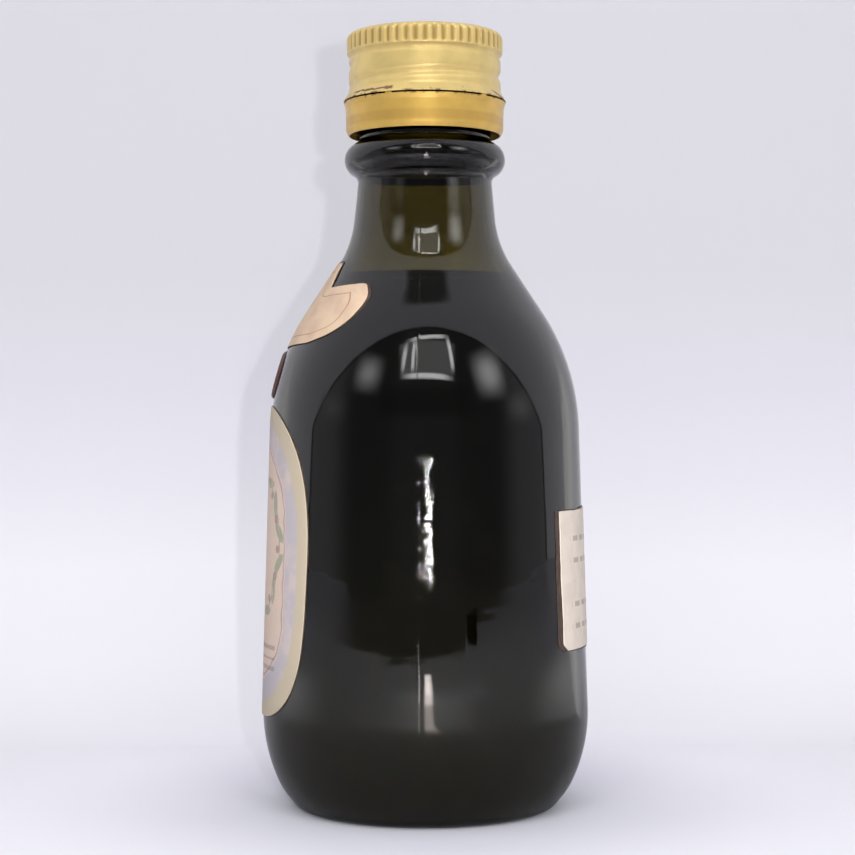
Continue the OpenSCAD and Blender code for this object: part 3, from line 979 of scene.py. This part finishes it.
side, up = x.math("ABSOLUTE"), z - GARLAND_Z
leaves = sum(oval(side, z, on_garland(a), 2.5, 0.95, math.radians(a + 90 + lean))
             for a, lean in zip(LEAVES, (-30, 30) * 3))
fruits = sum(oval(side, z, on_garland(a + 11, INSIDE), 0.75, 0.75) for a in LEAVES)
round_stem = (side * side) / GARLAND[0] ** 2 + (up * up) / GARLAND[1] ** 2
stem = near(round_stem, 1.0, 0.015, 0.03) * side.step(5.5, 6.5)
green = (leaves + stem).clamped() * look.noise(2, 3).step(0.2, 0.5)
base = look.mix(green * 0.6, base, colour(96, 124, 98))
base = look.mix(fruits.clamped() * 0.6, base, colour(128, 92, 96))
rules = sum(near(z, height, half, soft) for height, half, soft in RULES)
base = look.mix((rules * side.step(12.6, 12.2)).clamped() * 0.5, base, colour(112, 104, 106))
paper(front_paper, base, fibre)

# %% [markdown]
# ## The other two labels
# The shoulder label is plain paper with brown fibres. The back label has rows of dashes in place of small
# print: a sine wave across the rows cuts them up.

# %% Shoulder and back labels
ROWS, DASH, ROW_END = (48.6, 44.8, 37.2, 33.4), 3.4, 13.4


def aged(name, first, second):
    """A paper finish, its fibres, and its colour in soft clouds."""
    look = finish(name)
    return look, look.noise(0.35, 3, (1, 1, 3)), look.mix(look.noise(4, 5).step(0.35, 0.7), first, second)


look, fibre, base = aged("shoulder label paper", colour(194, 170, 144), colour(183, 157, 136))
paper(shoulder_paper, look.mix(fibre.step(0.4, 0.8) * 0.3, base, colour(178, 152, 130)), fibre)

look, fibre, base = aged("back label paper", colour(205, 194, 180), colour(194, 182, 170))
x, z = look.place("X") / MM, look.place("Z") / MM
rows = sum(near(z, row, 0.35, 0.2) for row in ROWS)
dashes = (x * (2 * math.pi / DASH)).math("SINE").step(-0.7, -0.4)
dashes = dashes * x.math("ABSOLUTE").step(ROW_END + 0.2, ROW_END - 0.2)
paper(back_paper, look.mix((rows * dashes).clamped() * 0.55, base, colour(120, 108, 102)), fibre)

# %% [markdown]
# ## The line on the shoulder label
# A thin brown line follows the edge of the shoulder label. A mask would need a formula for that outline, so
# the line is a narrow strip of mesh, just above the paper.

# %% Printed line
LINE_IN, LINE_WIDTH, LINE_LIFT = 1.5, 0.16, 0.26
edges = [shoulder_outline - outwards(shoulder_outline) * d for d in (LINE_IN, LINE_IN + LINE_WIDTH)]
points = np.vstack([on_glass(edge[:, 0], edge[:, 1], LINE_LIFT) for edge in edges])
ink = mesh_piece("ink_line", points, between(0, len(edges[0]), len(edges[0])))
stuck(ink)
ink_look = finish("brown ink")
faded = ink_look.mix(ink_look.noise(1, 3), colour(120, 92, 66), colour(176, 146, 116))
ink_look.surface({"Base Color": faded, "Roughness": 0.8})
dress(ink, ink_look)

# %% [markdown]
# ## Glue, painted shadow and wax
# Two plain finishes are left. The rim of old glue and painted shadow is brown and half glossy. The wax is
# maroon, lighter and duller in places, as handling makes it.

# %% Glue, shadow and seal finishes
# Painted shadow with old glue: the dark brown of the rims round the labels.
glue_and_shadow_look = finish("old glue")
cloud = glue_and_shadow_look.noise(1.5, 4).step(0.35, 0.65)
glue_and_shadow_look.surface({
    "Base Color": glue_and_shadow_look.mix(cloud, colour(46, 32, 24), colour(70, 50, 34)),
    "Roughness": 0.55,
})
for piece in glue_and_shadow_pieces:
    dress(piece, glue_and_shadow_look)

wax_look = finish("maroon wax")
cloud = wax_look.noise(1.4, 4)
wax_look.surface({
    "Base Color": wax_look.mix(cloud.step(0.3, 0.7), colour(56, 30, 32), colour(74, 42, 42)),
    "Roughness": (cloud * 0.25 + 0.3).clamped(),
    "Normal": wax_look.bump(cloud, 0.1, 0.4),
})
dress(seal, wax_look)

# %% [markdown]
# ## The studio
# A sheet of white paper runs under the bottle and curves up behind it. It could be one mesh, but the table
# has to show in the glass and the backdrop doesn't, so each is its own.

# %% Table and backdrop
WALL_X, COVE, HALF_SWEEP = -150.0, 80.0, 1600.0
table_line = [(px, 0.0) for px in (900, 760, 300, 100, 0, -100, -300, -900)]
curve = np.linspace(0, math.pi / 2, 16)
wall_line = [(WALL_X + COVE - COVE * math.sin(t), COVE - COVE * math.cos(t)) for t in curve]
wall_line += [(WALL_X, 400.0), (WALL_X, 1200.0)]


def strip(count):
    """Faces of a strip between two rows of points, which are listed in turn."""
    return [(2 * i, 2 * i + 1, 2 * i + 3, 2 * i + 2) for i in range(count - 1)]


def sheet(name, line):
    points = [(px, side * HALF_SWEEP, pz) for px, pz in line for side in (-1, 1)]
    piece = mesh_piece(name, points, strip(len(line)), 80)
    return piece


table, backdrop = sheet("table", table_line), sheet("backdrop", wall_line)
backdrop.visible_glossy = False
print("sweep:", len(table_line) + len(wall_line), "folds")

# %% [markdown]
# ## The white sweep
# The sweep should look evenly white however the lamps stand, so a share of it glows by itself where the
# camera sees it, and the rest takes shadows. Its colour is painted darker towards the top, as painted
# shade, and grey round the foot of the bottle, as a painted shadow. It is see-through from behind, so that
# it never hides the bottle.

# %% Sweep finish
SWEEP_HEIGHT, GLOW = 120, 0.93
look = finish("white sweep")
x, y, z = (look.place(axis) for axis in "XYZ")
# Painted shade: the tone darkens towards the top of the backdrop.
tone = look.add("ValToRGB", {"stops": [
    (0.0, colour(231, 230, 237)), (0.10, colour(235, 234, 241)), (0.28, colour(235, 234, 241)),
    (0.45, colour(226, 225, 233)), (0.65, colour(219, 217, 226)), (0.9, colour(213, 212, 218)),
]}, {0: (z / (SWEEP_HEIGHT * MM)).clamped()})
reach, on_table = (x * x + y * y) ** 0.5, z.step(2 * MM, 1 * MM)
# Painted shadow: the table is painted grey round the foot of the bottle.
tone = look.mix(reach.step(80 * MM, 25 * MM) * on_table * 0.6, tone, colour(196, 196, 205))
cast = look.add("BsdfPrincipled", {}, {"Base Color": tone, "Roughness": 0.6, "Specular IOR Level": 0.2})
even = look.add("Emission", {}, {"Color": tone, "Strength": GLOW})
close_by = reach.step(120 * MM, 40 * MM) * on_table
seen = look.add("LightPath", {}, {}, "Is Camera Ray")
cast = look.add("MixShader", {}, {0: seen * (0.6 - 0.5 * close_by), 1: cast, 2: even})
clear = look.add("BsdfTransparent", {}, {"Color": (1, 1, 1, 1)})
behind = look.add("NewGeometry", {}, {}, "Backfacing")
look.lead(look.add("MixShader", {}, {0: behind, 1: cast, 2: clear}), "Surface")
dress(table, look)
dress(backdrop, look)

# %% [markdown]
# ## Lamps
# A broad lamp high on the camera's side throws the soft shadow. Two small ones stand by the camera: one
# only lights, and the other is also mirrored in the glass, as a flash would be.

# %% Lamps
TARGET, ROOM = Vector((0, 0, 0.08)), 0.62


def out_there(azimuth, elevation, distance=ROOM):
    """A place round the bottle; azimuth 0 is towards the camera and grows to the camera's right."""
    a, e = math.radians(azimuth), math.radians(elevation)
    return Vector((distance * math.cos(e) * math.cos(a), distance * math.cos(e) * math.sin(a),
                   TARGET.z + distance * math.sin(e)))


def aim(piece, where):
    """Puts a lamp or a card somewhere, with its face towards the bottle."""
    piece.location = where
    piece.rotation_euler = (TARGET - where).to_track_quat("-Z", "Y").to_euler()


def lamp(name, where, size, power, glossy=False):
    light = bpy.data.lights.new(name, "AREA")
    light.shape, light.energy = "RECTANGLE", power
    light.size, light.size_y = size
    piece = bpy.data.objects.new(name, light)
    bpy.context.scene.collection.objects.link(piece)
    aim(piece, where)
    piece.visible_camera, piece.visible_glossy, piece.visible_transmission = False, glossy, False
    print("lamp", name, power, "W")


lamp("key", out_there(0, 40), (0.5, 0.4), 3.1)
lamp("side", Vector((EYE[0] * MM, 0.020, 0.078)), (0.004, 0.004), 0.85)
lamp("flash", Vector((EYE[0] * MM, 0.019, 0.053)), (0.008, 0.020), 0.13, glossy=True)

# %% [markdown]
# ## Cards
# Dark glass is a mirror, so what it shows is the room. The room is built from cards: flat sheets that glow
# evenly and fade at their edges. Only mirror rays see them, so they draw reflections and leave the light as
# it is.

# %% Card maker
def glow_card(piece, look, mask, level, tint=(1, 1, 1)):
    """Makes a piece of the stage glow where its mask is 1, for mirror rays only."""
    glow = look.add("Emission", {}, {"Color": (*tint, 1), "Strength": level})
    clear = look.add("BsdfTransparent", {}, {"Color": (1, 1, 1, 1)})
    look.lead(look.add("MixShader", {}, {0: mask, 1: clear, 2: glow}), "Surface")
    dress(piece, look)
    for ray in ("camera", "diffuse", "shadow", "transmission"):
        setattr(piece, "visible_" + ray, False)


def card(name, size, level, soft, tint=(1, 1, 1), cover=1.0, is_round=False):
    """A glowing sheet, size in metres, whose edges fade over a share of its half size."""
    half = [v / 2 for v in size]
    corners = [(sx * half[0], sy * half[1], 0) for sx, sy in ((-1, -1), (1, -1), (1, 1), (-1, 1))]
    piece = mesh_piece(name, np.array(corners) / MM, [(0, 1, 2, 3)])
    look = finish(name)
    across, along = look.place("X") / half[0], look.place("Y") / half[1]
    if is_round:
        mask = ((across * across + along * along) ** 0.5).step(1.0, 1 - soft)
    else:
        mask = across.math("ABSOLUTE").step(1.0, 1 - soft) * along.math("ABSOLUTE").step(1.0, 1 - soft)
    glow_card(piece, look, mask * cover, level, tint)
    return piece


# %% [markdown]
# ## The room in the glass
# Five narrow cards make the frame of a window, and a dim one fills it. Soft blobs and panels are the rest
# of the room, and two dark cards cover what would be too bright. The last two stand low behind the bottle
# and edge its sides.

# %% Cards round the bottle
CARDS = [  # name, azimuth, elevation, size, level, soft edge, roll
    ("frame_low", 2, 28.5, (0.46, 0.046), 9, 0.6, -2),
    ("frame_high", 3, 50, (0.34, 0.034), 9, 0.6, 4),
    ("frame_left", -10.5, 39, (0.036, 0.23), 9, 0.6, 0),
    ("frame_right", 23, 39.5, (0.036, 0.24), 9, 0.6, 0),
    ("frame_left_twin", -18, 38, (0.044, 0.22), 8, 0.8, 0),
    ("frame_inside", 2, 39, (0.46, 0.22), 1.2, 0.2, 0),
    ("blob_left", -46, 28, (0.30, 0.26), 3.0, 1.0, 0),
    ("blob_right", 52, 27, (0.34, 0.32), 4.5, 1.0, 0),
    ("panel_left", -72, 10, (0.36, 0.20), 0.6, 1.0, 0),
    ("panel_right", 74, 10, (0.36, 0.20), 0.9, 1.0, 0),
]
for name, azimuth, elevation, size, level, soft, roll in CARDS:
    piece = card(name, size, level, soft)
    aim(piece, out_there(azimuth, elevation))
    piece.rotation_euler.rotate_axis("Z", math.radians(roll))
aim(card("dark_hole", (0.40, 0.125), 0.22, 0.4, is_round=True), out_there(4, 74.5))
aim(card("dark_leg", (0.084, 0.022), 0.02, 0.3), out_there(32, -7, 0.58))
for name, side, level in (("rim_left", -1, 1.1), ("rim_right", 1, 1.5)):
    piece = card(name, (0.34, 0.15), level, 0.5)
    piece.location = (-0.13, side * 0.22, 0.055)
    piece.rotation_euler = (math.radians(90), 0, math.radians(90 + side * 25))

# %% [markdown]
# ## The end of the table
# The foot of the bottle mirrors the table, which ends somewhere and is dark beyond. A dim ring far out
# stands in for what lies there. Its inner edge is nearer on the left than on the right.

# %% End of the table
arc = [math.radians(a) for a in range(-100, 101, 4)]
points = [(r * math.cos(a), r * math.sin(a), 1.0) for a in arc for r in (400.0, 1500.0)]
table_end = mesh_piece("table_end", points, strip(len(arc)))
look = finish("table_end")
x, y = look.place("X"), look.place("Y")
bearing, reach = y.math("ARCTAN2", x), (x * x + y * y) ** 0.5
edge = 0.49 + 0.42 * bearing.step(0.46, 0.54) + 0.08 * bearing.step(-0.3, -0.7) + look.noise(60, 3) * 0.05
ahead_only = bearing.math("ABSOLUTE").step(1.2, 0.8)
glow_card(table_end, look, (reach - edge).step(-0.03, 0.06) * ahead_only, 0.18)

# %% [markdown]
# ## Cards that lie on the table
# What lies on the table is mirrored low in the glass. Two cards darken it, two light its sides, and a
# streak and a glint run from the foot towards the camera.

# %% Cards on the table
FLAT_CARDS = [  # name, place, size, level, soft edge, tint, cover
    ("table_dim", (0.20, 0, 0.0004), (0.9, 1.2), 0.02, 0.6, (1, 1, 1), 0.2),
    ("table_near", (0, 0, 0.0007), (0.80, 0.80), 0.06, 1.0, (1, 1, 1), 0.55),
    ("table_left", (-0.06, -0.25, 0.0016), (0.36, 0.30), 1.7, 1.0, (1, 1, 1), 0.6),
    ("table_right", (-0.06, 0.25, 0.0016), (0.36, 0.30), 1.7, 1.0, (1, 1, 1), 0.6),
    ("table_streak", (0.27, 0.012, 0.0010), (0.34, 0.036), 6, 0.7, (1.0, 0.88, 0.8), 1.0),
    ("table_glint", (0.37, 0.014, 0.0013), (0.20, 0.044), 18, 0.8, (1.0, 0.90, 0.84), 1.0),
]
for name, place, size, level, soft, tint, cover in FLAT_CARDS:
    card(name, size, level, soft, tint, cover).location = place

# %% [markdown]
# ## The world
# What no card covers is the world. `ahead` is 1 towards the camera and -1 away from it, and steps of it
# make the room brighter to the sides and behind. The ceiling is brighter still, with a dark hem where it
# meets the walls.

# %% World
WALLS, CEILING, SEEN = 0.16, 1.1, 0.8
world = bpy.data.worlds.new("studio")
bpy.context.scene.world = world
sky = Finish(world)
where = sky.add("TexCoord", {}, {}, "Generated")
dx, dy, dz = (sky.add("SeparateXYZ", {}, {0: where}, axis) for axis in "XYZ")
ahead = dx / (dx * dx + dy * dy) ** 0.5
room = WALLS + 0.06 * ahead.step(0.88, 0.95) + 0.35 * ahead.step(0.64, 0.25) + 0.35 * ahead.step(0.0, -0.35)
dusk = dz.step(0.12, 0.2) * dz.step(0.44, 0.36) * ahead.step(0.75, 0.95)
room = room * (1 - 0.35 * dusk)
over = dz - 1.35 * dx - 0.05 * dy
ceiling = over.step(0.07, 0.15)
hem = (over - 0.10).math("ABSOLUTE").step(0.035, 0.0)
level = (room * (1 - ceiling) + CEILING * ceiling - 0.3 * ahead.step(-0.6, -0.95)) * (1 - 0.75 * hem)
camera_ray = sky.add("LightPath", {}, {}, "Is Camera Ray")
strength = level * (1 - camera_ray) + camera_ray * SEEN
sky.lead(sky.add("Background", {}, {"Color": colour(240, 240, 248), "Strength": strength}), "Surface")
print("world of", len(sky.tree.nodes), "nodes")
